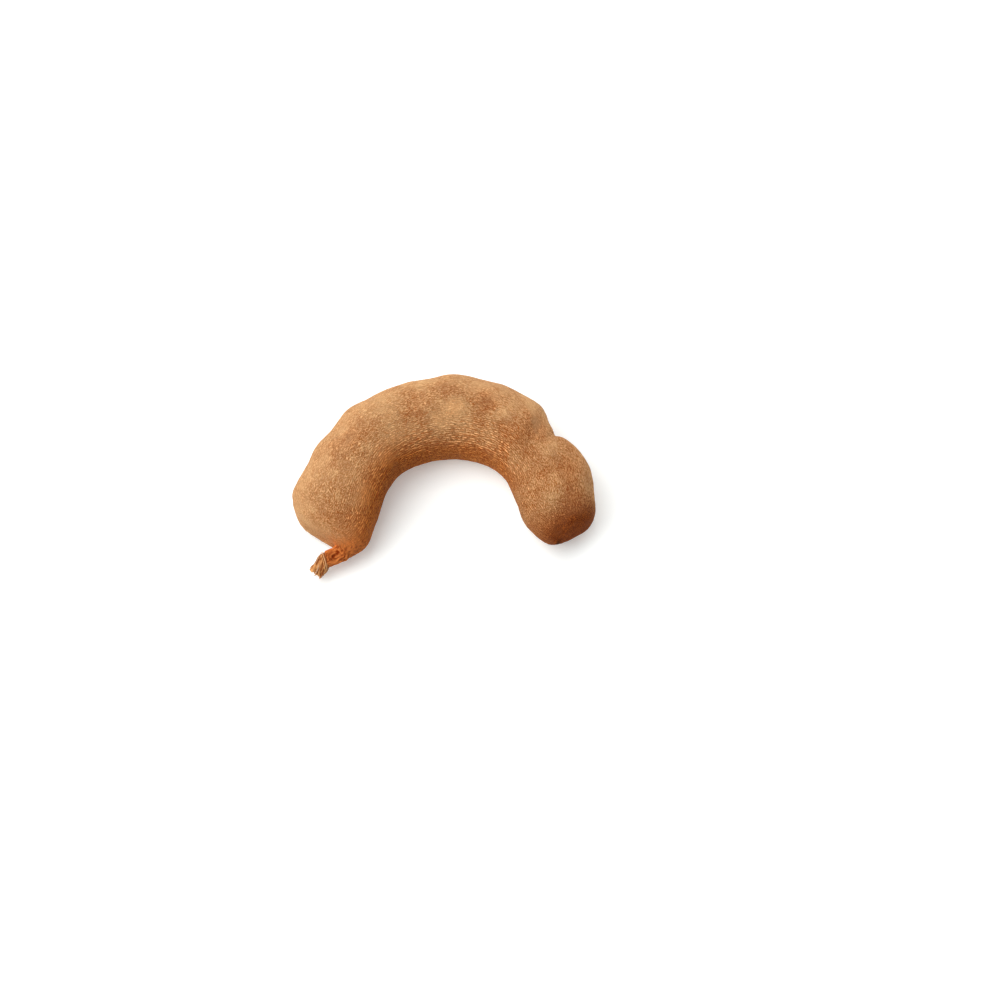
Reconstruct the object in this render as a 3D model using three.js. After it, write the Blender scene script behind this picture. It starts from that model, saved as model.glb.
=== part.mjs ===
// A whole tamarind pod lying on its side: one curved, lumpy, brittle shell that closes in a
// small point at one end and a fibrous neck at the other, and the broken stub of stalk it
// hung from. Millimetres, +Z up. The pod bends in a flat C that opens towards -Y, and rests
// on three of its lobes. The origin is at the middle of its box, on the surface it lies on.

import * as THREE from 'three';

// Each station is one cut across the pod, from the neck to the tip: the x and y of its outer
// edge, the x and y of its inner edge, the height of its middle, and its thickness.
const POD_STATIONS = [
  [-37.8, -24.6, -36.8, -29.4, 6.4, 4.6], // end of the neck
  [-34.7, -22.9, -33.0, -28.2, 7.2, 5.8],
  [-37.7, -20.6, -29.1, -26.5, 8.8, 10.0],
  [-45.2, -16.8, -24.3, -22.9, 10.6, 17.4],
  [-47.0, -9.8, -21.9, -16.3, 11.4, 23.0], // first lobe, one of the three that rest
  [-45.0, -1.8, -20.2, -10.6, 12.5, 23.6],
  [-38.8, 8.2, -17.8, -4.8, 12.8, 23.8],
  [-30.5, 18.0, -13.8, 0.6, 12.9, 23.8],
  [-17.2, 26.4, -6.8, 4.2, 12.5, 23.8],
  [1.0, 30.6, 2.0, 5.8, 11.8, 23.8], // middle of the bend, which rests
  [16.6, 27.4, 10.8, 3.8, 12.4, 23.4],
  [28.0, 21.0, 16.8, -0.4, 12.6, 23.0],
  [33.7, 12.7, 19.8, -5.2, 12.4, 21.6], // waist before the last lobe
  [40.8, 6.2, 21.8, -10.4, 12.0, 23.0],
  [45.6, -6.8, 23.4, -15.2, 11.5, 23.4], // last lobe, which rests
  [45.3, -15.7, 26.5, -19.0, 11.5, 19.4],
  [39.6, -20.3, 30.2, -22.3, 11.2, 12.0],
  [34.2, -23.1, 34.2, -23.1, 10.8, 0.0], // tip
];

// The stalk's stub, from its joint with the neck to its broken end, in the same six sizes. Its
// edges are named the other way round, because it leads away from the pod.
const STALK_STATIONS = [
  [-37.1, -29.4, -38.1, -24.7, 6.3, 4.4],
  [-37.8, -30.8, -40.2, -26.6, 5.7, 4.0],
  [-39.4, -32.5, -42.2, -29.2, 4.9, 4.4],
  [-41.2, -31.2, -41.2, -31.2, 4.7, 0.0],
];

// Each seed swells the shell's outer side: the station it lies at, and by how much.
const SEEDS = [
  [4.1, 1.0],
  [5.85, 1.1],
  [7.1, 1.9],
  [8.1, 1.0],
  [9.05, 1.4],
  [9.95, 0.9],
  [11.15, 1.0],
  [13.5, 0.8],
];
const SEED_REACH = 0.42; // stations from a seed's middle to 1/e of its swelling
const FACE_SHARE = 0.8; // how much of the swelling goes upwards and downwards
const FOLD_STATION = 12.18; // sharp fold in the outer edge, at the waist
const FOLD_DEPTH = 1.6;
const FOLD_REACH = 0.16;

const SECTION_POWER = 2.3; // 2 is an ellipse, and more makes flatter faces
const POD_ROWS = 84;
const POD_SIDES = 36;
const STALK_ROWS = 10;
const STALK_SIDES = 16;

/** Smooth curve through three of the six sizes of every station. */
function curveThrough(stations, first, second) {
  const points = stations.map((sizes) => new THREE.Vector3(sizes[first], sizes[second], 0));
  return new THREE.CatmullRomCurve3(points, false, 'catmullrom', 0.5);
}

/** Distance from a superellipse's middle to its edge in one direction, 1 along its axes. */
function roundness(cosine, sine) {
  const sum = Math.abs(cosine) ** SECTION_POWER + Math.abs(sine) ** SECTION_POWER;
  return sum ** (-1 / SECTION_POWER);
}

/** Swelling at a station, a bell for each seed, and the depth of the narrow fold. */
function podSwelling(station) {
  const bell = (middle, reach) => Math.exp(-(((station - middle) / reach) ** 2));
  const seeds = SEEDS.reduce((sum, [middle, swell]) => sum + swell * bell(middle, SEED_REACH), 0);
  return [seeds, FOLD_DEPTH * bell(FOLD_STATION, FOLD_REACH)];
}

/**
 * Closed body lofted through stations: a sphere's rows become superellipses across the
 * stations, its poles the middles of the first and last ones, and nothing goes under z = 0.
 * The swelling is full on the outer side and fades to nothing on the inner side, and the
 * fold fades sooner.
 */
function loft(stations, rows, sides, swelling) {
  const outerEdge = curveThrough(stations, 0, 1);
  const innerEdge = curveThrough(stations, 2, 3);
  const heights = curveThrough(stations, 4, 5);
  const geometry = new THREE.SphereGeometry(1, sides, rows);
  const position = geometry.attributes.position;
  for (let row = 0; row <= rows; row += 1) {
    const along = Math.max(row - 1, 0) / (rows - 1);
    const outer = outerEdge.getPoint(along);
    const inner = innerEdge.getPoint(along);
    const [middleHeight, thickness] = heights.getPoint(along).toArray();
    const outward = outer.clone().sub(inner).normalize();
    const [swell, fold] = swelling(along * (stations.length - 1));
    const isPole = row === 0 || row === rows;
    for (let side = 0; side <= sides; side += 1) {
      const angle = (-2 * Math.PI * (side % sides)) / sides;
      const [cosine, sine] = [Math.cos(angle), Math.sin(angle)];
      const reach = roundness(cosine, sine);
      const sideShare = (1 + cosine) / 2;
      const grown = swell * sideShare - fold * sideShare ** 4;
      const across = ((outer.distanceTo(inner) / 2) * reach + grown) * cosine;
      const up = ((thickness / 2) * reach + grown * FACE_SHARE) * sine;
      const point = outer.clone().lerp(inner, 0.5).addScaledVector(outward, isPole ? 0 : across);
      const height = Math.max(middleHeight + (isPole ? 0 : up), 0);
      position.setXYZ(row * (sides + 1) + side, point.x, point.y, height);
    }
  }
  geometry.computeVertexNormals();
  return geometry;
}

/** The shell: one piece from the neck to the tip. */
function makePod() {
  const geometry = loft(POD_STATIONS, POD_ROWS, POD_SIDES, podSwelling);
  const bark = new THREE.MeshStandardMaterial({ color: 0xb67c4c, roughness: 0.85, metalness: 0 });
  const pod = new THREE.Mesh(geometry, bark);
  pod.name = 'pod';
  return pod;
}

/** The broken stub of stalk. */
function makeStalk() {
  const geometry = loft(STALK_STATIONS, STALK_ROWS, STALK_SIDES, () => [0, 0]);
  const wood = new THREE.MeshStandardMaterial({ color: 0xa36138, roughness: 0.9, metalness: 0 });
  const stalk = new THREE.Mesh(geometry, wood);
  stalk.name = 'stalk';
  return stalk;
}

const tamarind = new THREE.Group();
tamarind.add(makePod(), makeStalk());
const box = new THREE.Box3().setFromObject(tamarind);
const middle = box.getCenter(new THREE.Vector3());
tamarind.position.set(-middle.x, -middle.y, -box.min.z);

export default tamarind;
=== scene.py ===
"""A whole ripe tamarind pod lying on its side on a white surface.

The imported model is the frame. The pod's shell is made again here as a fine surface through
the solid's own stations, and its stalk as a slimmer core with torn strands round it. Shapes
are worked out in mm, turned into metres, and put where the solids lie.
"""
import math

import bpy
import numpy as np
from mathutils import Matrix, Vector


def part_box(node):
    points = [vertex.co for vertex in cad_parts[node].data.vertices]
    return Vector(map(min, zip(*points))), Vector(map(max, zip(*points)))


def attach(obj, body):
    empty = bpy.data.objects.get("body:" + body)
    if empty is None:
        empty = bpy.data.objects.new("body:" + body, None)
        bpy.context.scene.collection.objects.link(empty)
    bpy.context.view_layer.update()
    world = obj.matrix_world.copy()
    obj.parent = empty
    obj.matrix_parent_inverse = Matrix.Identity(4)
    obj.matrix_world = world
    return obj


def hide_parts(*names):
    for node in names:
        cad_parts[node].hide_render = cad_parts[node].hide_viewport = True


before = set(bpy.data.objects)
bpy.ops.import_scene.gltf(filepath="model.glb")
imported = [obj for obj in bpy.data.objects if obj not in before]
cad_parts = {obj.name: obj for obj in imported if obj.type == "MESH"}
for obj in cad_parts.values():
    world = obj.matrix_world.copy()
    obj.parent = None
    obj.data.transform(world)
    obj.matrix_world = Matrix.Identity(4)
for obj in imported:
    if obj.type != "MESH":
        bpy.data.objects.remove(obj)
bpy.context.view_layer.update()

MM = 0.001
RANDOM_SEED = 11

# ---------------------------------------------------------------- the pod's shape, in mm

# Each station is one cut across the pod, from the neck to the tip: the x and y of its outer
# edge, the x and y of its inner edge, the height of its middle, and its thickness.
POD_STATIONS = np.array([
    [-37.8, -24.6, -36.8, -29.4, 6.4, 4.6],
    [-34.7, -22.9, -33.0, -28.2, 7.2, 5.8],
    [-37.7, -20.6, -29.1, -26.5, 8.8, 10.0],
    [-45.2, -16.8, -24.3, -22.9, 10.6, 17.4],
    [-47.0, -9.8, -21.9, -16.3, 11.4, 23.0],
    [-45.0, -1.8, -20.2, -10.6, 12.5, 23.6],
    [-38.8, 8.2, -17.8, -4.8, 12.8, 23.8],
    [-30.5, 18.0, -13.8, 0.6, 12.9, 23.8],
    [-17.2, 26.4, -6.8, 4.2, 12.5, 23.8],
    [1.0, 30.6, 2.0, 5.8, 11.8, 23.8],
    [16.6, 27.4, 10.8, 3.8, 12.4, 23.4],
    [28.0, 21.0, 16.8, -0.4, 12.6, 23.0],
    [33.7, 12.7, 19.8, -5.2, 12.4, 21.6],
    [40.8, 6.2, 21.8, -10.4, 12.0, 23.0],
    [45.6, -6.8, 23.4, -15.2, 11.5, 23.4],
    [45.3, -15.7, 26.5, -19.0, 11.5, 19.4],
    [39.6, -20.3, 30.2, -22.3, 11.2, 12.0],
    [34.2, -23.1, 34.2, -23.1, 10.8, 0.0],
])

# Each seed swells the shell's outer side: the station it lies at, and by how much.
SEEDS = [
    (4.1, 1.0), (5.85, 1.1), (7.1, 1.9), (8.1, 1.0),
    (9.05, 1.4), (9.95, 0.9), (11.15, 1.0), (13.5, 0.8),
]
SEED_REACH = 0.42  # stations from a seed's middle to 1/e of its swelling
FACE_SHARE = 0.8  # how much of the swelling goes upwards and downwards
FOLD_STATION = 12.18  # sharp fold in the outer edge, at the waist
FOLD_DEPTH = 1.6
FOLD_REACH = 0.16
SECTION_POWER = 2.3  # 2 is an ellipse, and more makes flatter faces

# Soft hollows of the shell (and swellings, where the depth is below 0): the station and the
# angle of each one's middle, in degrees from the outer edge up over the face, its depth and
# its reach.
HOLLOWS = [
    (5.1, 66, 0.35, 4.0), (6.3, 68, 0.40, 4.0), (7.0, 80, 0.30, 3.0),
    (7.4, 113, -0.30, 3.5), (7.95, 105, 0.30, 3.5), (8.45, 93, -0.30, 3.0),
    (9.1, 103, -0.45, 3.5), (9.75, 75, 0.85, 4.5), (9.85, 112, 0.30, 2.2),
    (10.4, 80, -0.50, 3.5), (10.45, 108, 0.35, 2.5), (11.6, 72, 0.70, 4.0),
    (13.3, 78, 0.50, 3.5), (13.9, 100, -0.45, 4.5), (14.2, 68, 0.30, 3.0),
]

# Blushes of the skin, some of which are painted light and painted shade: the station and the angle of
# each one's middle, how much tanner (or redder, where it is below 0) the skin is there, and its reach.
BLUSHES_AND_SHADING = [
    (2.5, 68, 0.85, 3.0), (3.1, 100, -0.35, 4.0), (3.45, 58, 0.35, 3.0), (3.9, 92, 0.40, 4.5),
    (4.7, 134, 1.00, 3.5), (5.3, 97, 0.80, 4.8), (5.85, 61, -0.90, 3.4), (6.3, 71, -1.55, 3.2),
    (6.4, 122, 0.60, 3.5), (6.45, 101, 0.45, 2.5), (6.6, 142, 1.00, 2.9), (7.2, 115, 0.75, 4.2),
    (7.6, 86, 0.70, 3.8), (7.6, 49, 0.50, 2.5), (7.9, 116, 0.70, 3.2), (8.45, 58, 0.50, 3.0),
    (8.45, 103, 0.25, 2.5), (8.6, 120, 0.70, 3.5), (8.9, 76, -0.25, 2.6), (9.1, 98, 1.30, 4.0),
    (9.35, 120, 0.25, 3.2), (9.6, 92, 0.40, 2.2), (9.8, 112, -0.65, 1.8), (9.85, 76, -1.20, 3.2),
    (10.3, 88, 0.60, 3.0), (10.4, 105, -0.80, 1.9), (10.9, 142, -0.75, 3.1), (10.9, 118, -0.45, 3.0),
    (11.35, 78, -0.20, 4.0), (11.45, 59, -1.15, 3.2), (11.9, 66, -0.80, 2.2), (12.6, 69, 0.60, 3.6),
    (13.2, 101, -0.35, 2.5), (13.45, 64, -1.15, 3.2), (13.9, 98, 0.35, 4.5), (13.95, 71, -0.95, 3.5),
]

# The neck ends at a crease, which leans along the pod from its outer to its inner edge. The
# neck's shrivelled end has two pits, given as hollows are, and ring folds round them.
CREASE_STATION = 0.75
CREASE_LEAN = 0.0070  # stations for each degree from the outer edge
CREASE_DEPTH = 0.3
BARE_LEAN = 0.010  # stations that the bare fibre goes on for each degree past the face
NECK_PITS = [(0.56, 106, 0.70, 0.60), (0.95, 101, 0.65, 0.60)]
RING_STEP = 1.5
RING_HEIGHT = 0.13
NECK_WRINKLE_SIZE = 0.9
NECK_WRINKLE_HEIGHT = 0.07

# The shell's waves: their size, and their height on the inner side and how much more it is on
# the outer side. Wrinkles are as high all round.
LUMP_SIZE = 13
LUMP_HEIGHT = (0.06, 0.16)
DENT_SIZE = 6
DENT_HEIGHT = (0.02, 0.07)
WRINKLE_SIZE = 1.3
WRINKLE_HEIGHT = 0.025

TIP_STATION = 17
NIB_HEIGHT = 0.7
NIB_REACH = 0.75

# The reddest and darkest skin is at the blunt end, near its outer edge, a redder end with painted shade
# over it: the station and the angle of its middle, as hollows have them.
RED_SHADE_STATION = 16.0
RED_SHADE_ANGLE = 15.0
RED_SHADE_REACH = (6.0, 15.5)  # full up to the first distance, and gone at the second

ZERO_STATION = 8.5  # the way along the skin is counted from here, near the middle of the bend
POD_ROWS = 430
POD_SIDES = 228


def bell(value, middle, reach):
    """A bell curve: 1 at middle, 1/e one reach away from it."""
    return np.exp(-((value - middle) / reach) ** 2)


def smooth_step(value, low, high):
    """0 below low, 1 above high, and an S-shaped rise between them."""
    share = np.clip((value - low) / (high - low), 0, 1)
    return share * share * (3 - 2 * share)


def through(stations, place):
    """Catmull-Rom curve through the stations' rows at fractional row numbers: a cubic from each
    row to the next, whose slope at a row is half the step between its two neighbours."""
    last = len(stations) - 1
    padded = np.vstack([2 * stations[0] - stations[1], stations, 2 * stations[-1] - stations[-2]])
    index = np.minimum(place.astype(int), last - 1)
    share = (place - index)[:, None]
    before, start, end, after = (padded[index + step] for step in range(4))
    leave, arrive = (end - before) / 2, (after - start) / 2
    cubic = 2 * start - 2 * end + leave + arrive
    square = -3 * start + 3 * end - 2 * leave - arrive
    return ((cubic * share + square) * share + leave) * share + start


def wavy(points, wavelength, draws, count=48):
    """Smooth random field of about unit size: the sum of many cosine waves of nearly the same
    wavelength that run in random directions, each with a random start."""
    heading = draws.normal(size=(count, points.shape[-1]))
    heading /= np.linalg.norm(heading, axis=1, keepdims=True)
    pace = 2 * math.pi / (wavelength * draws.uniform(0.7, 1.4, size=(count, 1)))
    start = draws.uniform(0, 2 * math.pi, size=count)
    total = np.zeros(points.shape[:-1])
    for wave, offset in zip(heading * pace, start):
        total += np.cos(points @ wave + offset)
    return total * math.sqrt(2 / count)


def spaced_places(stations, rows, crowding):
    """Station places of rows along the middle line, and the distance along it to each. The rows
    are evenly spaced where crowding(place) is 1, and closer where it is more."""
    dense = np.linspace(0, len(stations) - 1, 4000)
    cut = through(stations, dense)
    middle = (cut[:, 0:2] + cut[:, 2:4]) / 2
    step = np.hypot(*np.diff(middle, axis=0).T)
    distance = np.concatenate([[0], np.cumsum(step)])
    count = np.concatenate([[0], np.cumsum(step * crowding(dense[1:]))])
    place = np.interp(np.linspace(0, count[-1], rows), count, dense)
    return place, np.interp(place, dense, distance)


def section(stations, place, angle, swelling):
    """Point of a lofted body at a station place and an angle round it: the cut's middle plus a
    superellipse, half the cut's width outwards and half its thickness upwards, plus the
    swelling, which is full on the outer side and fades to nothing on the inner side, less the
    fold, which fades sooner. Also gives the distances outwards and upwards by themselves."""
    cut = through(stations, place)
    outer, inner = cut[:, 0:2], cut[:, 2:4]
    width = np.hypot(*(outer - inner).T)
    outward = (outer - inner) / np.maximum(width, 1e-9)[:, None]
    cosine, sine = np.cos(angle)[None, :], np.sin(angle)[None, :]
    reach = (np.abs(cosine) ** SECTION_POWER + np.abs(sine) ** SECTION_POWER) ** (-1 / SECTION_POWER)
    side_share = (1 + cosine) / 2
    swell, fold = swelling(place)
    grown = swell[:, None] * side_share - fold[:, None] * side_share ** 4
    across = (width / 2)[:, None] * reach * cosine + grown * cosine
    up = (cut[:, 5] / 2)[:, None] * reach * sine + grown * FACE_SHARE * sine
    middle = (outer + inner) / 2
    flat = middle[:, None, :] + outward[:, None, :] * across[..., None]
    return np.concatenate([flat, (cut[:, 4][:, None] + up)[..., None]], axis=-1), across, up


def surface_points(stations, place, angle, swelling):
    """Points on a lofted body at pairs of a station place and an angle."""
    grid, _, _ = section(stations, place, angle, swelling)
    return np.diagonal(grid).T


def pod_swelling(place):
    """Swelling, a bell for each seed, and the depth of the narrow fold at the waist."""
    seeds = sum(swell * bell(place, middle, SEED_REACH) for middle, swell in SEEDS)
    return seeds, FOLD_DEPTH * bell(place, FOLD_STATION, FOLD_REACH)


def no_swelling(place):
    """The stalk has no seeds and no fold."""
    return np.zeros_like(place), np.zeros_like(place)


def straightened(distance, across, up):
    """Each point's place in the straightened body: the distance along its middle line, and the
    place in the cut. Patterns that follow the body's length read it."""
    return np.stack([np.broadcast_to(distance[:, None], across.shape), across, up], axis=-1)


def outward_normals(grid):
    """Unit normals of a grid that closes on itself along its second way: the cross product of
    the differences along the two ways."""
    along = np.gradient(grid, axis=0)
    round_it = np.roll(grid, -1, axis=1) - np.roll(grid, 1, axis=1)
    normal = np.cross(round_it, along)
    return normal / np.maximum(np.linalg.norm(normal, axis=-1, keepdims=True), 1e-12)


# ---------------------------------------------------------------- mesh making


def closed_mesh(name, stack, layers):
    """Mesh of a stack of grids of points, each with rows along a body by sides round it, and each
    closed at both ends by a fan to the middle of its end row. layers holds point attributes on
    the same grids."""
    count, rows, sides = stack.shape[:3]
    ends = stack[:, [0, -1]].mean(axis=2)
    points = np.concatenate([stack.reshape(count, -1, 3), ends], axis=1)
    row, side = np.meshgrid(np.arange(rows - 1), np.arange(sides), indexing="ij")
    after = (side + 1) % sides
    quads = np.stack([row * sides + side, row * sides + after,
                      (row + 1) * sides + after, (row + 1) * sides + side], axis=-1)
    ring = np.arange(sides)
    first_fan = np.stack([np.full(sides, rows * sides), (ring + 1) % sides, ring], axis=-1)
    last_row = (rows - 1) * sides
    last_fan = np.stack([np.full(sides, rows * sides + 1), last_row + ring,
                         last_row + (ring + 1) % sides], axis=-1)
    corners = np.concatenate([quads.ravel(), first_fan.ravel(), last_fan.ravel()])
    corners = corners + np.arange(count)[:, None] * points.shape[1]
    sizes = np.tile(np.concatenate([np.full(row.size, 4), np.full(2 * sides, 3)]), count)
    mesh = bpy.data.meshes.new(name)
    mesh.vertices.add(points.size // 3)
    mesh.vertices.foreach_set("co", points.astype(np.float32).ravel())
    mesh.loops.add(corners.size)
    mesh.loops.foreach_set("vertex_index", corners.astype(np.int32).ravel())
    mesh.polygons.add(len(sizes))
    starts = np.concatenate([[0], np.cumsum(sizes)[:-1]])
    mesh.polygons.foreach_set("loop_start", starts.astype(np.int32))
    mesh.polygons.foreach_set("use_smooth", np.ones(len(sizes), bool))
    mesh.update(calc_edges=True)
    unroll(mesh, count, rows, sides, row, side)

    for layer, values in layers.items():
        size = 3 if values.ndim == 4 else 1
        grids = values.reshape(count, rows, sides, size)
        ends = grids[:, [0, -1]].mean(axis=2)
        flat = np.concatenate([grids.reshape(count, -1, size), ends], axis=1)
        kind, key = ("FLOAT_VECTOR", "vector") if size == 3 else ("FLOAT", "value")
        attribute = mesh.attributes.new(layer, kind, "POINT")
        attribute.data.foreach_set(key, flat.astype(np.float32).ravel())
    return mesh


def unroll(mesh, count, rows, sides, row, side):
    """Map that unrolls each body of a stack: along it is one way and round it the other, and the
    bodies lie side by side. The faces that close a ring take 1 and not 0 as their far side."""
    ring = np.arange(sides)
    across = np.concatenate([np.stack([side, side + 1, side + 1, side], axis=-1).ravel(),
                             np.stack([ring + 0.5, ring + 1, ring], axis=-1).ravel(),
                             np.stack([ring + 0.5, ring, ring + 1], axis=-1).ravel()]) / sides
    along = np.concatenate([np.stack([row, row, row + 1, row + 1], axis=-1).ravel() + 1,
                            np.tile([0, 1, 1], sides),
                            np.tile([rows + 1, rows, rows], sides)]) / (rows + 1)
    across = (across + np.arange(count)[:, None]) / count
    unrolled = mesh.uv_layers.new(name="OFBake")
    pairs = np.stack([across, np.broadcast_to(along, across.shape)], axis=-1)
    unrolled.data.foreach_set("uv", pairs.astype(np.float32).ravel())


def one_body(grid, layers):
    """Stack of a single grid, and its layers."""
    return grid[None], {layer: values[None] for layer, values in layers.items()}


def add_piece(name, mesh, material, nodes):
    """Object of a mesh that rides on the root body and stands for the CAD nodes named, if any."""
    piece = bpy.data.objects.new(name, mesh)
    bpy.context.scene.collection.objects.link(piece)
    mesh.materials.append(material)
    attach(piece, "root")
    if nodes:
        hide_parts(*nodes)


# ---------------------------------------------------------------- the shell


def middles_of(bells):
    """Where on the plain shell the bells of a list have their middles."""
    place = np.array([row[0] for row in bells], float)
    angle = np.radians([row[1] for row in bells])
    return surface_points(POD_STATIONS, place, angle, pod_swelling)


def distance_to(grid, point):
    """Distance from each point of a grid to one point."""
    return np.linalg.norm(grid - point, axis=-1)


def bells_at(grid, bells):
    """Sum over a list of bells: each one's size times a bell curve of the distance to it."""
    total = np.zeros(grid.shape[:2])
    for middle, (_, _, size, reach) in zip(middles_of(bells), bells):
        total += size * bell(distance_to(grid, middle), 0, reach)
    return total


def crowded_ends(place):
    """How closely the rows lie: closer at the neck and at the tip."""
    return 1 + 2.5 * bell(place, 0, 1.6) + 2.0 * bell(place, TIP_STATION, 0.4)


def ends_of_pod(station, angle):
    """How far past the neck's crease each point lies, in stations, and where the neck, its bare
    fibre and the tip are, from 0 to 1. The fibre goes on past the crease, and further on the
    inner side."""
    lean = np.degrees(np.minimum(angle, 2 * math.pi - angle))
    past_crease = station - CREASE_STATION - CREASE_LEAN * lean
    neck = 1 - smooth_step(past_crease, -0.15, 0.45)
    past_bare = past_crease - BARE_LEAN * np.maximum(lean - 90, 0)
    bare = 1 - 0.6 * smooth_step(past_bare, -0.2, 0.9) - 0.4 * smooth_step(past_bare, 0.2, 2.2)
    tip = smooth_step(station, 16.8, 16.97) * np.ones_like(lean)
    return past_crease, neck, bare, tip


def shell_relief(grid, straight, outer, past_crease, body, draws):
    """Relief of the shell: slow lumps and dents, both deeper on the outer side, and fine wrinkles,
    all between its two ends, less the hollows and the neck's crease, plus the nib at the tip."""
    lumps = wavy(straight, LUMP_SIZE, draws)
    dents = wavy(straight * [0.8, 1, 1], DENT_SIZE, draws)
    wrinkles = wavy(straight * [0.40, 1, 1], WRINKLE_SIZE, draws)
    lumps = (LUMP_HEIGHT[0] + LUMP_HEIGHT[1] * outer) * lumps
    dents = (DENT_HEIGHT[0] + DENT_HEIGHT[1] * outer) * dents
    relief = lumps + dents + WRINKLE_HEIGHT * wrinkles
    relief = body * relief - bells_at(grid, HOLLOWS) - CREASE_DEPTH * bell(past_crease, 0, 0.13)
    return relief + NIB_HEIGHT * bell(distance_to(grid, grid[-1].mean(0)), 0, NIB_REACH)


def neck_folds(grid, straight, draws):
    """Relief of the neck: ring folds, as a cosine of the distance to the pits that dies away from
    them, the pits, and fine wrinkles along the neck."""
    away = distance_to(grid, middles_of(NECK_PITS).mean(0))
    away = away + 0.35 * wavy(grid, 3.0, draws)
    rings = -RING_HEIGHT * np.cos(2 * math.pi * away / RING_STEP) * bell(away, 2.4, 2.6)
    wrinkles = wavy(straight * [0.35, 1, 1], NECK_WRINKLE_SIZE, draws)
    return rings - bells_at(grid, NECK_PITS) + NECK_WRINKLE_HEIGHT * wrinkles


def ways_over_skin(grid, across, up, place, outer):
    """Two distances over the skin in mm, along each side line of the shell and round the cut.
    Both are running sums of the steps between neighbouring points. The way along starts near the
    middle of the bend. The way round starts at the inner edge, and its steps count shorter
    there, so that the ripples that follow it are wider."""
    along = np.cumsum(np.linalg.norm(np.diff(grid, axis=0, prepend=grid[:1]), axis=-1), axis=0)
    step = np.hypot(across - np.roll(across, 1, axis=1), up - np.roll(up, 1, axis=1))
    around = np.cumsum(step * (1 - 0.3 * smooth_step(1 - outer, 0.75, 0.97)), axis=1)
    along = along - along[np.searchsorted(place, ZERO_STATION)]
    return along, around - around[:, POD_SIDES // 2, None]


def skin_zones(station, outer, grid):
    """Where the skin differs, from 0 to 1: the red blunt end with painted shade over it, the redder
    inner side with painted shade at its edge, the ripples of the scurf along it, which are fullest in
    the bend, the band of powder and painted sheen, which thins out at the waist, and a painted light
    stripe, slightly tanner, near the inner edge of the bend."""
    inner = 1 - outer
    # How far each point belongs to the bend, and to the arms at the neck and at the blunt end.
    bend = smooth_step(station, 1.9, 3.4) - smooth_step(station, 10.8, 13.6)
    arms = smooth_step(station, 0.8, 2.2) - smooth_step(station, 6.5, 8.5)
    arms = arms + 0.5 * smooth_step(station, 14.4, 15.6)

    # Painted shade at the blunt end, over a redder end.
    red_shade_middle = middles_of([(RED_SHADE_STATION, RED_SHADE_ANGLE)])[0]
    red_end_and_shade = smooth_step(-distance_to(grid, red_shade_middle), -RED_SHADE_REACH[1], -RED_SHADE_REACH[0])
    red_end_and_shade = np.maximum(red_end_and_shade, 0.35 * smooth_step(station, 14.8, 16.6))
    # Painted shade along the inner edge, over a redder inner side, in the bend and on the arms.
    edge_redness_and_shade = 0.16 * smooth_step(inner, 0.70, 0.88) + 0.74 * smooth_step(inner, 0.88, 0.99)
    inner_shade = edge_redness_and_shade * bend + 0.72 * smooth_step(inner, 0.58, 0.90) * arms
    ripple = smooth_step(inner, 0.44, 0.85) * (0.5 + 0.5 * bend)
    return {
        "red_end_and_shade": red_end_and_shade,
        "inner_shade": np.minimum(inner_shade, 1),
        "ripple": ripple * (1 - 0.55 * smooth_step(inner, 0.90, 1.0)),
        "powder_sheen_band": 1 - 0.75 * smooth_step(station, 11.0, 12.6) * np.ones_like(outer),
        # A painted light stripe near the inner edge of the bend.
        "blush_and_shading": 0.25 * bell(outer, 0.2, 0.12) * bend,
    }


def pod_grid():
    """The shell as a grid of points in mm: the lofted body, moved along its own normals by its
    relief and the neck's folds, and kept above the surface. Also gives the layers for its
    material."""
    draws = np.random.default_rng(RANDOM_SEED)
    place, distance = spaced_places(POD_STATIONS, POD_ROWS, crowded_ends)
    place, distance = place[:-1], distance[:-1]
    angle = np.linspace(0, 2 * math.pi, POD_SIDES, endpoint=False)
    plain, across, up = section(POD_STATIONS, place, angle, pod_swelling)
    straight = straightened(distance, across, up)
    station = place[:, None]
    outer = (1 + np.cos(angle)) / 2 * np.ones_like(across)

    past_crease, neck, bare, tip = ends_of_pod(station, angle)
    relief = shell_relief(plain, straight, outer, past_crease, (1 - neck) * (1 - tip), draws)
    folds = neck * neck_folds(plain, straight, draws)
    grid = plain + outward_normals(plain) * (relief + folds)[..., None]
    grid[..., 2] = np.maximum(grid[..., 2], 0)

    along, around = ways_over_skin(plain, across, up, place, outer)
    layers = {"straight": straight * MM, "along": along * MM, "around": around * MM,
              "outer": outer, "neck": bare, "fold": folds, "tip": tip}
    layers.update(skin_zones(station, outer, grid))
    # The blushes added here include painted light and painted shade.
    layers["blush_and_shading"] = layers["blush_and_shading"] + bells_at(plain, BLUSHES_AND_SHADING)
    return one_body(grid, layers)


# ---------------------------------------------------------------- materials

# The shell's colours. Gaps are the skin between the threads of scurf. Tints are multiplied in.
GAP_BROWN = (0.38, 0.099, 0.020, 1)
GAP_TAN = (0.53, 0.202, 0.063, 1)
# The orange colours are a redder inner side with painted shade along its edge.
GAP_ORANGE_SHADE = (0.36, 0.068, 0.008, 1)
# The red colours are a redder blunt end with painted shade over it.
GAP_RED_SHADE = (0.15, 0.022, 0.003, 1)
SCURF_BROWN = (0.88, 0.435, 0.175, 1)
SCURF_TAN = (0.98, 0.600, 0.285, 1)
SCURF_ORANGE_SHADE = (0.87, 0.310, 0.068, 1)
SCURF_RED_SHADE = (0.54, 0.132, 0.019, 1)
GRIT_BROWN = (0.22, 0.055, 0.012, 1)
CRACK_BROWN = (0.19, 0.05, 0.010, 1)
STAIN_BROWN = (0.40, 0.140, 0.052, 1)
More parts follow.
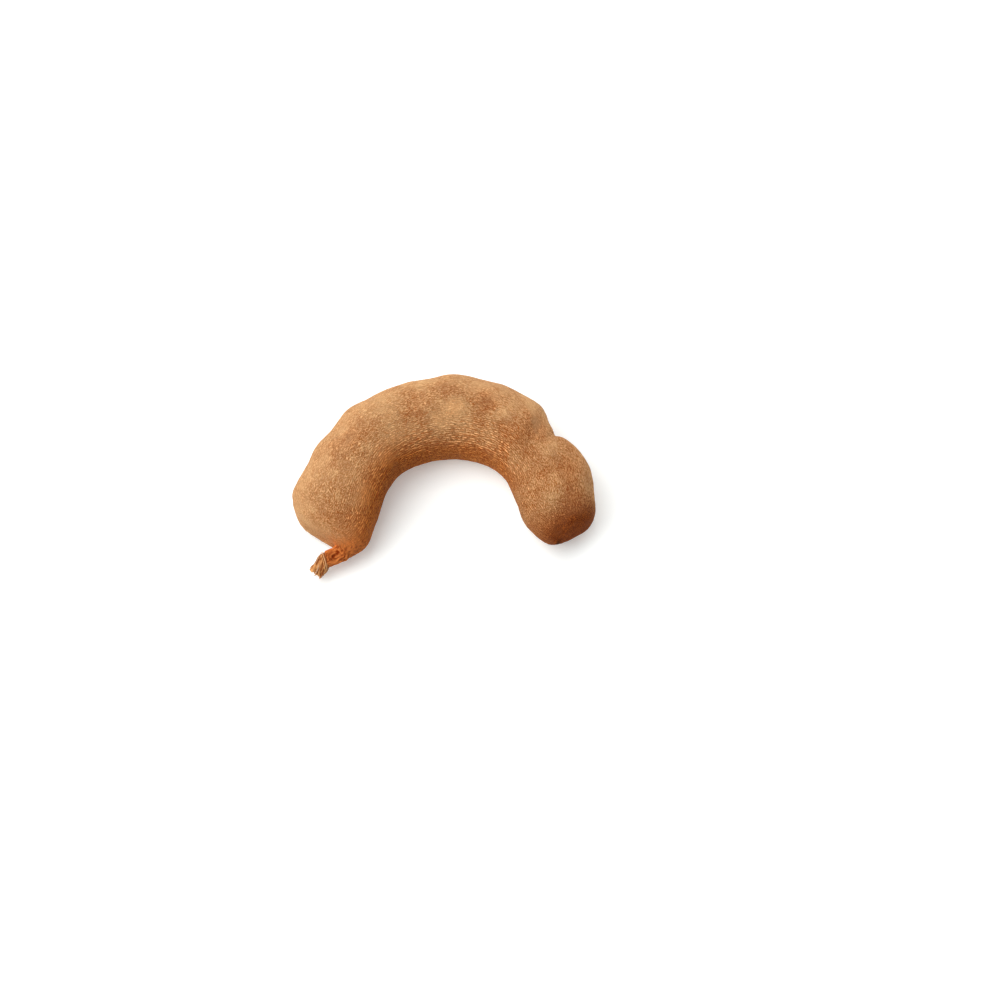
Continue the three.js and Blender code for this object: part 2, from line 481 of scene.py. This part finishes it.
# The powder's tan is partly a painted sheen on the outer side.
POWDER_AND_SHEEN_TAN = (0.57, 0.335, 0.158, 1)
# The patch tints darken and lighten: painted shade and painted light, as well as redder and tanner
# patches.
RED_PATCH_AND_SHADE_TINT = (0.78, 0.735, 0.71, 1)
TAN_PATCH_AND_LIGHT_TINT = (1.20, 1.20, 1.18, 1)
# The darkest fibre colour is also painted shade in the neck's grooves and pits.
FIBRE_DARK_AND_SHADE = (0.30, 0.044, 0.004, 1)
FIBRE_ORANGE = (0.82, 0.245, 0.056, 1)
TIP_BROWN = (0.07, 0.03, 0.015, 1)

# The stalk's colours.
STRAND_BROWN = (0.26, 0.072, 0.014, 1)
STRAND_TAN = (0.70, 0.34, 0.12, 1)
STRAND_PALE = (0.66, 0.50, 0.36, 1)

# The sizes of the patterns, in metres.
PATCH_SIZE = 0.010
BORDER_SIZE = 0.007
STAIN_SIZE = 0.005
RIPPLE_PATCH_SIZE = 0.004
POWDER_AND_SHEEN_SIZE = 0.0038
WANDER_SIZE = 0.003
WANDER_REACH = 0.00015  # how far the net's threads wander sideways
CLUMP_SIZE = 0.0018
SPECK_SPACING = 0.0016
CRACK_SIZE = 0.0012
RIPPLE_DRIFT_SIZE = 0.0011
NECK_FIBRE_SIZE = 0.0009
RIPPLE_WIDTH = 0.00062
RIPPLE_BREAK_SIZE = 0.0006
STREAK_SIZE = 0.0004
GRAIN_SIZE = 0.00024
GRIT_SIZE = 0.00011
RAGGED_SIZE = 0.00009
SHELL_BUMP = 0.00025
FIBRE_BUMP = 0.0002


class Nodes:
    """Short ways to add shader nodes to one material."""

    def __init__(self, name):
        self.material = bpy.data.materials.new(name)
        self.material.use_nodes = True
        self.tree = self.material.node_tree
        self.shader = self.tree.nodes["Principled BSDF"]

    def add(self, kind, inputs=None, **settings):
        """Node with its settings. An input that is given a socket is linked, and others are set."""
        node = self.tree.nodes.new(kind)
        for key, value in settings.items():
            setattr(node, key, value)
        for key, value in (inputs or {}).items():
            if isinstance(value, bpy.types.NodeSocket):
                self.tree.links.new(value, node.inputs[key])
            else:
                node.inputs[key].default_value = value
        return node

    def attribute(self, name, output="Fac"):
        """Value of one of the mesh's layers."""
        return self.add("ShaderNodeAttribute", attribute_name=name).outputs[output]

    def drawn_out(self, vector, share):
        """Vector whose first way counts for less, so that a pattern on it is longer that way."""
        inputs = {"Vector": vector, "Scale": (share, 1, 1)}
        return self.add("ShaderNodeMapping", inputs).outputs["Vector"]

    def noise(self, vector, size, detail=2.0, roughness=0.5, output="Fac"):
        """Cloudy pattern from 0 to 1, whose clouds are about as wide as size."""
        inputs = {"Vector": vector, "Scale": 1 / size, "Detail": detail, "Roughness": roughness}
        return self.add("ShaderNodeTexNoise", inputs).outputs[output]

    def cells(self, vector, spacing):
        """Distance to the nearest of many scattered points."""
        inputs = {"Vector": vector, "Scale": 1 / spacing}
        return self.add("ShaderNodeTexVoronoi", inputs).outputs["Distance"]

    def ramp(self, value, low, high, out_low=0.0, out_high=1.0):
        """S-shaped rise from out_low to out_high as the value goes from low to high."""
        inputs = {"Value": value, "From Min": low, "From Max": high}
        inputs.update({"To Min": out_low, "To Max": out_high})
        node = self.add("ShaderNodeMapRange", inputs, interpolation_type="SMOOTHSTEP")
        return node.outputs["Result"]

    def maths(self, operation, *values):
        """One step of arithmetic on numbers."""
        return self.add("ShaderNodeMath", dict(enumerate(values)), operation=operation).outputs[0]

    def between(self, share, first, second):
        """Number that goes from first to second as share goes from 0 to 1."""
        inputs = {0: share, 2: first, 3: second}
        return self.add("ShaderNodeMix", inputs, data_type="FLOAT").outputs[0]

    def mix(self, share, first, second, blend="MIX"):
        """Colour that goes from first to second, or to their product, as share goes from 0 to 1."""
        inputs = {0: share, 6: first, 7: second}
        return self.add("ShaderNodeMix", inputs, data_type="RGBA", blend_type=blend).outputs[2]

    def finish(self, color, height, depth, constants):
        """Joins colour and bump to the shader, and sets its constants."""
        bump = self.add("ShaderNodeBump", {"Height": height, "Distance": depth, "Strength": 1.0})
        self.tree.links.new(color, self.shader.inputs["Base Color"])
        self.tree.links.new(bump.outputs["Normal"], self.shader.inputs["Normal"])
        for key, value in constants.items():
            self.shader.inputs[key].default_value = value
        return self.material


def skin_tone(n, straight, outer):
    """How tan the skin is: more on the outer side, in slow patches, and by the blushes, some of which
    are painted light and painted shade. Below 0 the skin is redder and has less scurf."""
    tone = n.maths("MINIMUM", n.maths("MULTIPLY", outer, 0.6), 0.40)
    patches = n.noise(straight, PATCH_SIZE, 3.0, 0.55)
    tone = n.maths("ADD", tone, n.ramp(patches, 0.3, 0.7, -0.15, 0.50))
    return n.maths("ADD", tone, n.attribute("blush_and_shading"))


def zone_colors(n, tone, red_end_and_shade):
    """Colours of the gaps and of the scurf: brown to tan by the tone, orange and darker on the inner
    side, partly painted shade along the inner edge, and red and darker at the blunt end, partly painted
    shade there."""
    inner_shade = n.attribute("inner_shade")
    gaps = n.mix(inner_shade, n.mix(tone, GAP_BROWN, GAP_TAN), GAP_ORANGE_SHADE)
    scurf = n.mix(inner_shade, n.mix(tone, SCURF_BROWN, SCURF_TAN), SCURF_ORANGE_SHADE)
    return n.mix(red_end_and_shade, gaps, GAP_RED_SHADE), n.mix(red_end_and_shade, scurf, SCURF_RED_SHADE)


def scurf_ripples(n):
    """Ripples of the scurf: a sine of the way round, with a phase that drifts and a height that
    sinks here and there."""
    skin = {0: n.attribute("along"), 1: n.attribute("around")}
    skin = n.drawn_out(n.add("ShaderNodeCombineXYZ", skin).outputs[0], 0.5)
    drift = n.maths("MULTIPLY", n.noise(skin, RIPPLE_DRIFT_SIZE, 1.0), 9.0)
    turns = 2 * math.pi / RIPPLE_WIDTH
    phase = n.maths("MULTIPLY_ADD", n.attribute("around"), turns, drift)
    height = n.ramp(n.noise(skin, RIPPLE_BREAK_SIZE, 0.0), 0.35, 0.65, -0.05, 0.72)
    return n.maths("MULTIPLY_ADD", n.maths("SINE", phase), height, 0.5)


def scurf_net(n, straight, moved, tone):
    """Height of the net of scurf: fine grains drawn out along the pod, which give way to ripples on
    the inner side in patches, plus ragged edges and slow clumps, and lower where the skin is
    redder."""
    grains = n.noise(n.drawn_out(moved, 0.36), GRAIN_SIZE, 0.0)
    patches = n.ramp(n.noise(straight, RIPPLE_PATCH_SIZE, 1.0), 0.35, 0.65, 0.42, 0.84)
    rippled = n.maths("MULTIPLY", n.attribute("ripple"), patches)
    net = n.between(rippled, grains, scurf_ripples(n))
    ragged = n.noise(n.drawn_out(moved, 0.6), RAGGED_SIZE, 1.0)
    net = n.maths("ADD", net, n.ramp(ragged, 0.2, 0.8, -0.26, 0.26))
    clumps = n.noise(straight, CLUMP_SIZE, 2.0)
    net = n.maths("ADD", net, n.ramp(clumps, 0.3, 0.7, -0.03, 0.03))
    return n.maths("ADD", net, n.ramp(tone, -1.0, -0.1, -0.09, 0.0))


def with_dark_marks(n, color, straight, moved):
    """Colour with grit all over it, thin cracks along the pod, where a drawn-out noise crosses its
    middle value, and scattered specks."""
    grit = n.noise(straight, GRIT_SIZE, 1.0, 0.6)
    color = n.mix(n.ramp(grit, 0.35, 0.75, 0.0, 0.3), color, GRIT_BROWN)
    cracks = n.noise(n.drawn_out(moved, 0.25), CRACK_SIZE, 2.0, 0.6)
    cracks = n.maths("ABSOLUTE", n.maths("SUBTRACT", cracks, 0.5))
    color = n.mix(n.ramp(cracks, 0.0, 0.02, 0.25, 0.0), color, CRACK_BROWN)
    specks = n.cells(n.drawn_out(moved, 0.7), SPECK_SPACING)
    return n.mix(n.ramp(specks, 0.08, 0.20, 0.35, 0.0), color, CRACK_BROWN)


def with_stains(n, color, straight, border):
    """Colour with soft brown stains, which are more common near the border of the powder and painted
    sheen.
    """
    stain = n.noise(n.drawn_out(straight, 0.8), STAIN_SIZE, 2.0, 0.5)
    rise, fall = n.ramp(border, 0.35, 0.52), n.ramp(border, 0.56, 0.72, 1.0, 0.0)
    near_border = n.maths("MULTIPLY", rise, fall)
    stain = n.maths("ADD", stain, n.maths("MULTIPLY", near_border, 0.10))
    return n.mix(n.ramp(stain, 0.52, 0.74, 0.0, 0.25), color, STAIN_BROWN)


def powder_and_sheen_share(n, straight, border, red_end_and_shade):
    """How much pale powder, with a painted sheen, covers the skin: more past the border, cloudy, less
    where the band thins out, and none at the red end."""
    clouds = n.noise(straight, POWDER_AND_SHEEN_SIZE, 3.0, 0.6)
    powder_and_sheen = n.ramp(border, 0.48, 0.86, 0.0, 0.58)
    powder_and_sheen = n.maths("MULTIPLY", powder_and_sheen, n.ramp(clouds, 0.35, 0.6, 0.50, 1.0))
    powder_and_sheen = n.maths("MULTIPLY", powder_and_sheen, n.attribute("powder_sheen_band"))
    return n.maths("MULTIPLY", powder_and_sheen, n.maths("SUBTRACT", 1.0, red_end_and_shade))


def neck_fibre_and_fold_shade(n, straight):
    """Colour of the neck's bare fibre: dark in its grooves, folds and pits, which is painted shade that
    follows their depth, and orange on their crests, with streaks of fibre across both.
    """
    fibre = n.noise(n.drawn_out(straight, 0.25), NECK_FIBRE_SIZE, 3.0, 0.6)
    fold_shade_and_fibre = n.maths("ADD", n.attribute("fold"), n.ramp(fibre, 0.3, 0.7, -0.20, 0.20))
    return n.mix(n.ramp(fold_shade_and_fibre, -0.40, 0.22), FIBRE_DARK_AND_SHADE, FIBRE_ORANGE)


def shell_material():
    """Brittle brown shell: brown skin under a net of fine pale scurf that runs along the pod, tan and
    powdery on the outer side with a painted sheen, redder on the inner side and at the blunt end with
    painted shade over both, in slow patches, some of them painted light and painted shade, rubbed to
    bare orange fibre at the neck with painted shade in its folds, and dark at the tip."""
    n = Nodes("shell_scurf")
    straight = n.attribute("straight", "Vector")
    outer, red_end_and_shade = n.attribute("outer"), n.attribute("red_end_and_shade")
    wander = {0: n.noise(straight, WANDER_SIZE, 1.0, output="Color"), 1: [WANDER_REACH] * 3, 2: straight}
    moved = n.add("ShaderNodeVectorMath", wander, operation="MULTIPLY_ADD").outputs["Vector"]

    tone = skin_tone(n, straight, outer)
    gap_color, scurf_color = zone_colors(n, tone, red_end_and_shade)
    net = scurf_net(n, straight, moved, tone)
    # The tannest patches have a smoother cover of scurf.
    scurf = n.between(n.ramp(tone, 0.5, 1.4, 0.0, 0.45), n.ramp(net, 0.38, 0.68), 0.62)
    color = n.mix(scurf, gap_color, scurf_color)
    color = with_dark_marks(n, color, straight, moved)
    # Where the tone is far below 0 the colour is darkened, and where it is near 1 and above it is
    # lightened: painted shade and painted light, as well as redder and tanner patches.
    color = n.mix(n.ramp(tone, -1.0, -0.1, 1.0, 0.0), color, RED_PATCH_AND_SHADE_TINT, "MULTIPLY")
    color = n.mix(n.ramp(tone, 0.9, 1.9), color, TAN_PATCH_AND_LIGHT_TINT, "MULTIPLY")

    # The border of the powder and painted sheen follows the outer side, and wavers.
    waver = n.ramp(n.noise(straight, BORDER_SIZE, 2.0, 0.5), 0.3, 0.7, -0.12, 0.12)
    border = n.maths("ADD", outer, waver)
    color = with_stains(n, color, straight, border)
    # Pale powder with a painted sheen on the outer side.
    powder_and_sheen = powder_and_sheen_share(n, straight, border, red_end_and_shade)
    color = n.mix(powder_and_sheen, color, POWDER_AND_SHEEN_TAN)
    relief = n.maths("MULTIPLY", n.ramp(net, 0.2, 0.8), n.maths("SUBTRACT", 1.0, powder_and_sheen))

    # The neck's bare fibre, with painted shade in its grooves, folds and pits.
    color = n.mix(n.attribute("neck"), color, neck_fibre_and_fold_shade(n, straight))
    color = n.mix(n.attribute("tip"), color, TIP_BROWN)
    constants = {"Roughness": 0.85, "Specular IOR Level": 0.06, "IOR": 1.45}
    return n.finish(color, relief, SHELL_BUMP, constants)


def fibre_material():
    """Dry torn fibre: streaks along each strand, from brown in the gaps to tan on the crests, and
    nearly white on the strands that are pale."""
    n = Nodes("stalk_fibre")
    straight, pale = n.attribute("straight", "Vector"), n.attribute("pale")
    streaks = n.noise(n.drawn_out(straight, 0.15), STREAK_SIZE, 3.0, 0.65)
    tone = n.maths("ADD", n.ramp(streaks, 0.3, 0.7, -0.45, 0.40), pale)
    color = n.mix(tone, STRAND_BROWN, STRAND_TAN)
    color = n.mix(n.ramp(pale, 1.0, 1.8), color, STRAND_PALE)
    constants = {"Roughness": 0.8, "Specular IOR Level": 0.2, "IOR": 1.45}
    return n.finish(color, streaks, FIBRE_BUMP, constants)


# ---------------------------------------------------------------- the stalk, in mm

# The stub's core, in the same six sizes as the pod's stations. Its first row lies inside the
# neck, so that no gap shows at the joint.
STALK_STATIONS = np.array([
    [-36.2, -28.2, -37.0, -25.0, 6.6, 3.4],
    [-37.1, -29.4, -38.1, -24.7, 6.3, 4.2],
    [-37.8, -30.8, -40.2, -26.6, 5.7, 3.6],
    [-39.0, -31.8, -41.5, -29.0, 5.0, 3.4],
    [-40.6, -30.8, -40.6, -30.8, 4.8, 0.0],
])
STALK_ROWS = 60
STALK_SIDES = 64
RIB_COUNT = 13
RIB_HEIGHT = 0.12
CORE_PALENESS = -0.1

# The bundle of strands round the core: the middle of its start in the neck and of its torn end,
# and half its width at both.
BUNDLE_START = np.array([-37.0, -26.6, 6.4])
BUNDLE_END = np.array([-40.9, -31.2, 4.8])
BUNDLE_REACH = (2.1, 2.0)
BUNDLE_FLATNESS = 0.88

# The kinds of strand: how many, and the least and most of each one's distance from the bundle's
# middle line, as a share of its half width, of its radius, of the places along the bundle where
# it starts and ends, and of its paleness.
STRAND_KINDS = [
    (17, (0.92, 1.05), (0.36, 0.54), (-0.02, 0.04), (0.90, 1.04), (0.15, 0.75)),
    (15, (0.20, 0.78), (0.30, 0.48), (0.40, 0.60), (0.84, 1.02), (-0.20, 0.60)),
    (12, (1.08, 1.25), (0.09, 0.17), (0.02, 0.40), (0.70, 1.14), (0.60, 1.60)),
]
STRAND_ROWS = 22
STRAND_SIDES = 8
STRAND_FLATNESS = 0.75

# The two strands that go round the stub just past the joint: the first and last station, the
# first and last angle in degrees, the radius, and the paleness.
JOINT_STRANDS = [
    ((1.10, 1.32), (150, -10), 0.13, 1.25),
    ((1.25, 1.85), (170, 10), 0.11, 1.00),
]
JOINT_LIFT = 0.42  # from the core's surface to the middle of a strand

STRAND_TWIST = (0.9, 0.5)  # radians along the bundle, and how much more for a kind's last one
STRAND_WAVER = 0.10  # of the angle, in radians, and of the distance from the middle line
WAVER_START = 6.3  # each waver starts anywhere in about a full turn

STREAK_RUN = 6  # mm of the streaks' pattern along the bundle
STREAK_SPREAD = 40  # mm of it over which the strands of one kind are spread


def stalk_grid():
    """The stub's core in mm: the lofted body with ribs along it, even ones as a cosine of the angle
    and uneven ones as drawn-out waves."""
    draws = np.random.default_rng(RANDOM_SEED + 1)
    place, distance = spaced_places(STALK_STATIONS, STALK_ROWS, np.ones_like)
    place, distance = place[:-1], distance[:-1]
    angle = np.linspace(0, 2 * math.pi, STALK_SIDES, endpoint=False)
    grid, across, up = section(STALK_STATIONS, place, angle, no_swelling)
    straight = straightened(distance, across, up)
    uneven = wavy(straight * [0.35, 1, 1], 1.3, draws)
    ribs = RIB_HEIGHT * np.cos(RIB_COUNT * angle) + RIB_HEIGHT * uneven
    grid = grid + outward_normals(grid) * ribs[..., None]
    return one_body(grid, {"straight": straight * MM, "pale": np.full(across.shape, CORE_PALENESS)})


def tubes(paths, outwards, radius):
    """Round strands in a stack: a circle, flattened towards the bundle's middle, carried along each
    path. Its two axes are the outward direction, squared to the path, and the cross product of
    the path's direction with that."""
    ahead = np.gradient(paths, axis=1)
    ahead /= np.linalg.norm(ahead, axis=-1, keepdims=True)
    outwards = outwards - ahead * (outwards * ahead).sum(-1, keepdims=True)
    outwards /= np.linalg.norm(outwards, axis=-1, keepdims=True)
    aside = np.cross(ahead, outwards)
    turn = np.linspace(0, 2 * math.pi, STRAND_SIDES, endpoint=False)[None, None, :, None]
    circle = np.cos(turn) * outwards[:, :, None] * STRAND_FLATNESS + np.sin(turn) * aside[:, :, None]
    return paths[:, :, None] + circle * radius[:, :, None, None]


def tapered(share, power):
    """Radius of a strand as a share of its full one: even along its middle, and drawn in at its
    ends, as the root of 1 less a high power of the distance from the middle."""
    return np.sqrt(np.clip(1 - (2 * share - 1) ** power, 0.02, 1))


def bundle_paths(along, angle, reach):
    """Paths round the bundle's middle line at an angle and a distance from it, and their outward
    directions: one way square to the line and level, and the other upright and flattened."""
    line = BUNDLE_END - BUNDLE_START
    axis = line / np.linalg.norm(line)
    side = np.cross(axis, [0, 0, 1])
    side /= np.linalg.norm(side)
    upright = np.cross(side, axis) * BUNDLE_FLATNESS
    outwards = np.cos(angle)[..., None] * side + np.sin(angle)[..., None] * upright
    return BUNDLE_START + line * along[..., None] + outwards * reach[..., None], outwards


def strand_layers(stack, ways, pale):
    """Layers for the strands' material: the place of each point in the streaks' pattern, given as
    its three ways in mm, and the paleness along each strand."""
    ways = [np.broadcast_to(way, stack.shape[:3]) for way in ways]
    pale = np.broadcast_to(pale[..., None], stack.shape[:3])
    return {"straight": np.stack(ways, axis=-1) * MM, "pale": pale}


def bundle_strands():
    """The torn strands in mm: each runs along the bundle at its own distance from the middle line
    and twists round it, wavers, and ends at its own length. The last ones are thin and pale."""
    draws = np.random.default_rng(RANDOM_SEED + 2)
    counts = [kind[0] for kind in STRAND_KINDS]
    ranges = np.repeat([kind[1:] for kind in STRAND_KINDS], counts, axis=0)
    low, high = ranges[..., 0], ranges[..., 1]
    off, radius, first, last, pale = (low + (high - low) * draws.uniform(size=low.shape)).T[..., None]
    order = np.concatenate([np.arange(count) / count for count in counts])[:, None]
    share = np.linspace(0, 1, STRAND_ROWS)[None, :]
    along = first + (last - first) * share

    angle = 2 * math.pi * order + draws.uniform(-0.15, 0.15, size=order.shape)
    angle = angle + (STRAND_TWIST[0] + STRAND_TWIST[1] * order) * along
    start = WAVER_START * draws.uniform(size=order.shape)
    angle = angle + STRAND_WAVER * np.sin(7 * along + start)
    start = WAVER_START * draws.uniform(size=order.shape)
    spread = 1 + STRAND_WAVER * np.sin(5 * along + start)
    spread = spread - 0.12 * bell(along, 0.35, 0.3)
    half_width = BUNDLE_REACH[0] + (BUNDLE_REACH[1] - BUNDLE_REACH[0]) * along
    paths, outwards = bundle_paths(along, angle, off * spread * half_width)
    uneven = 1 + 0.2 * np.sin(9 * share + 20 * order)
    stack = tubes(paths, outwards, radius * tapered(share, 8) * uneven)

    turn = np.linspace(0, 1, STRAND_SIDES, endpoint=False)
    ways = (along[..., None] * STREAK_RUN, turn, order[..., None] * STREAK_SPREAD)
    return stack, strand_layers(stack, ways, pale + 0.45 * smooth_step(share, 0.78, 1.0))


def joint_strands():
    """Two pale strands in mm that go round the stub just past its joint with the neck: each lies
    just off the core's surface, at an angle that runs on evenly and a place that sways."""
    share = np.linspace(0, 1, STRAND_ROWS)
    paths, outwards = [], []
    for (first, last), (start, end), _, _ in JOINT_STRANDS:
        place = first + (last - first) * share + 0.09 * np.sin(8 * share)
        angle = np.radians(start + (end - start) * share)
        path = surface_points(STALK_STATIONS, place, angle, no_swelling)
        cut = through(STALK_STATIONS, place)
        middle = np.column_stack([(cut[:, 0:2] + cut[:, 2:4]) / 2, cut[:, 4]])
        outward = (path - middle) / np.linalg.norm(path - middle, axis=-1, keepdims=True)
        paths.append(path + outward * JOINT_LIFT)
        outwards.append(outward)
    radius, pale = np.array([strand[2:] for strand in JOINT_STRANDS]).T[..., None]
    stack = tubes(np.stack(paths), np.stack(outwards), radius * tapered(share, 6))
    ways = (share[None, :, None] * STREAK_RUN, 0.0, 0.0)
    return stack, strand_layers(stack, ways, pale)


# ---------------------------------------------------------------- making the object


def stand_on_frame():
    """How far the mm shapes move, in metres, to lie where the CAD pod lies: from the middle of the
    plain lofted pod's box to the middle of the CAD node's box. Their heights are right already."""
    place, _ = spaced_places(POD_STATIONS, POD_ROWS, np.ones_like)
    angle = np.linspace(0, 2 * math.pi, POD_SIDES, endpoint=False)
    plain = section(POD_STATIONS, place, angle, pod_swelling)[0].reshape(-1, 3) * MM
    low, high = (np.array(corner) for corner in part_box("pod"))
    shift = (low + high - plain.min(0) - plain.max(0)) / 2
    return np.append(shift[:2], 0)


shift = stand_on_frame()
shell, fibre = shell_material(), fibre_material()
pieces = [
    ("pod_shell", pod_grid(), shell, "shell", ["pod"]),
    ("stalk_core", stalk_grid(), fibre, "stalk", ["stalk"]),
    ("stalk_strands", bundle_strands(), fibre, "stalk", []),
    ("joint_strands", joint_strands(), fibre, "stalk", []),
]
for name, (stack, layers), material, slot, nodes in pieces:
    add_piece(name, closed_mesh(name, stack * MM + shift, layers), material, nodes)

# ---------------------------------------------------------------- floor, light and camera

FLOOR_HALF = 3.0  # half the sheet's side
FLOOR_WHITE = (0.77, 0.80, 0.79, 1)
FLOOR_GLOW = (1, 1, 0.99, 1)
GLOW_REACH = (0.35, 1.2)  # the glow grows from the first distance to the second
GLOW_STRENGTH = (0.3, 0.95)

LIGHT_SIZE = 0.9
LIGHT_TARGET = Vector((0, 0, 0.01))
LIGHTS = [  # name, place and power in watts
    ("back_softbox", (0.26, 0.94, 0.50), 8.4),
    ("left_softbox", (-0.90, -0.38, 0.50), 6.8),
    ("high_softbox", (-0.35, 0.0, 1.02), 12.2),
]
WORLD_LIGHT, WORLD_SEEN = 0.1, 0.95  # strength of the white world as a light, and as it is seen

# The camera looks down on the flat side of the pod, from in front. The point that it aims at
# lies right of the pod's middle and nearer, so the pod stands left of the middle of the view.
CAMERA_ELEVATION = math.radians(68)
CAMERA_DISTANCE = 0.861
CAMERA_AIM = Vector((0.0174, -0.0110, 0))  # from the middle of the pod
CAMERA_LENS = 100
CAMERA_SENSOR = 36


def pale_floor():
    """Wide white sheet under the pod, which glows more the further it is from the pod."""
    mesh = bpy.data.meshes.new("floor")
    corners = [(x * FLOOR_HALF, y * FLOOR_HALF, 0) for x, y in ((-1, -1), (1, -1), (1, 1), (-1, 1))]
    mesh.from_pydata(corners, [], [(0, 1, 2, 3)])
    floor = bpy.data.objects.new("floor", mesh)
    bpy.context.scene.collection.objects.link(floor)
    n = Nodes("white_surface")
    n.shader.inputs["Base Color"].default_value = FLOOR_WHITE
    n.shader.inputs["Roughness"].default_value = 0.9
    n.shader.inputs["Emission Color"].default_value = FLOOR_GLOW
    place = n.add("ShaderNodeTexCoord").outputs["Object"]
    away = n.add("ShaderNodeVectorMath", {0: place}, operation="LENGTH").outputs["Value"]
    glow = n.ramp(away, *GLOW_REACH, *GLOW_STRENGTH)
    n.tree.links.new(glow, n.shader.inputs["Emission Strength"])
    mesh.materials.append(n.material)


def soft_light(name, place, power):
    """Square area light that faces the pod."""
    lamp = bpy.data.lights.new(name, "AREA")
    lamp.size = LIGHT_SIZE
    lamp.energy = power
    light = bpy.data.objects.new(name, lamp)
    light.location = place
    light.rotation_euler = (LIGHT_TARGET - Vector(place)).to_track_quat("-Z", "Y").to_euler()
    bpy.context.scene.collection.objects.link(light)


def white_world():
    """White surroundings that light the pod softly and look nearly white behind it."""
    world = bpy.data.worlds.new("studio")
    world.use_nodes = True
    tree = world.node_tree
    background = tree.nodes["Background"]
    background.inputs["Color"].default_value = (1, 1, 1, 1)
    seen = tree.nodes.new("ShaderNodeLightPath").outputs["Is Camera Ray"]
    strength = tree.nodes.new("ShaderNodeMapRange")
    strength.inputs["To Min"].default_value = WORLD_LIGHT
    strength.inputs["To Max"].default_value = WORLD_SEEN
    tree.links.new(seen, strength.inputs["Value"])
    tree.links.new(strength.outputs["Result"], background.inputs["Strength"])
    bpy.context.scene.world = world
    bpy.context.scene.view_settings.view_transform = "Standard"


def studio_camera():
    """Camera that looks down at the pod from its elevation."""
    pod_low, pod_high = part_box("pod")
    aim = (pod_low + pod_high) / 2 + CAMERA_AIM
    back = Vector((0, -math.cos(CAMERA_ELEVATION), math.sin(CAMERA_ELEVATION)))
    camera_data = bpy.data.cameras.new("camera")
    camera_data.lens = CAMERA_LENS
    camera_data.sensor_width = CAMERA_SENSOR
    camera = bpy.data.objects.new("camera", camera_data)
    camera.location = aim + back * CAMERA_DISTANCE
    camera.rotation_euler = (-back).to_track_quat("-Z", "Y").to_euler()
    bpy.context.scene.collection.objects.link(camera)
    bpy.context.scene.camera = camera


pale_floor()
for name, place, power in LIGHTS:
    soft_light(name, place, power)
white_world()
studio_camera()
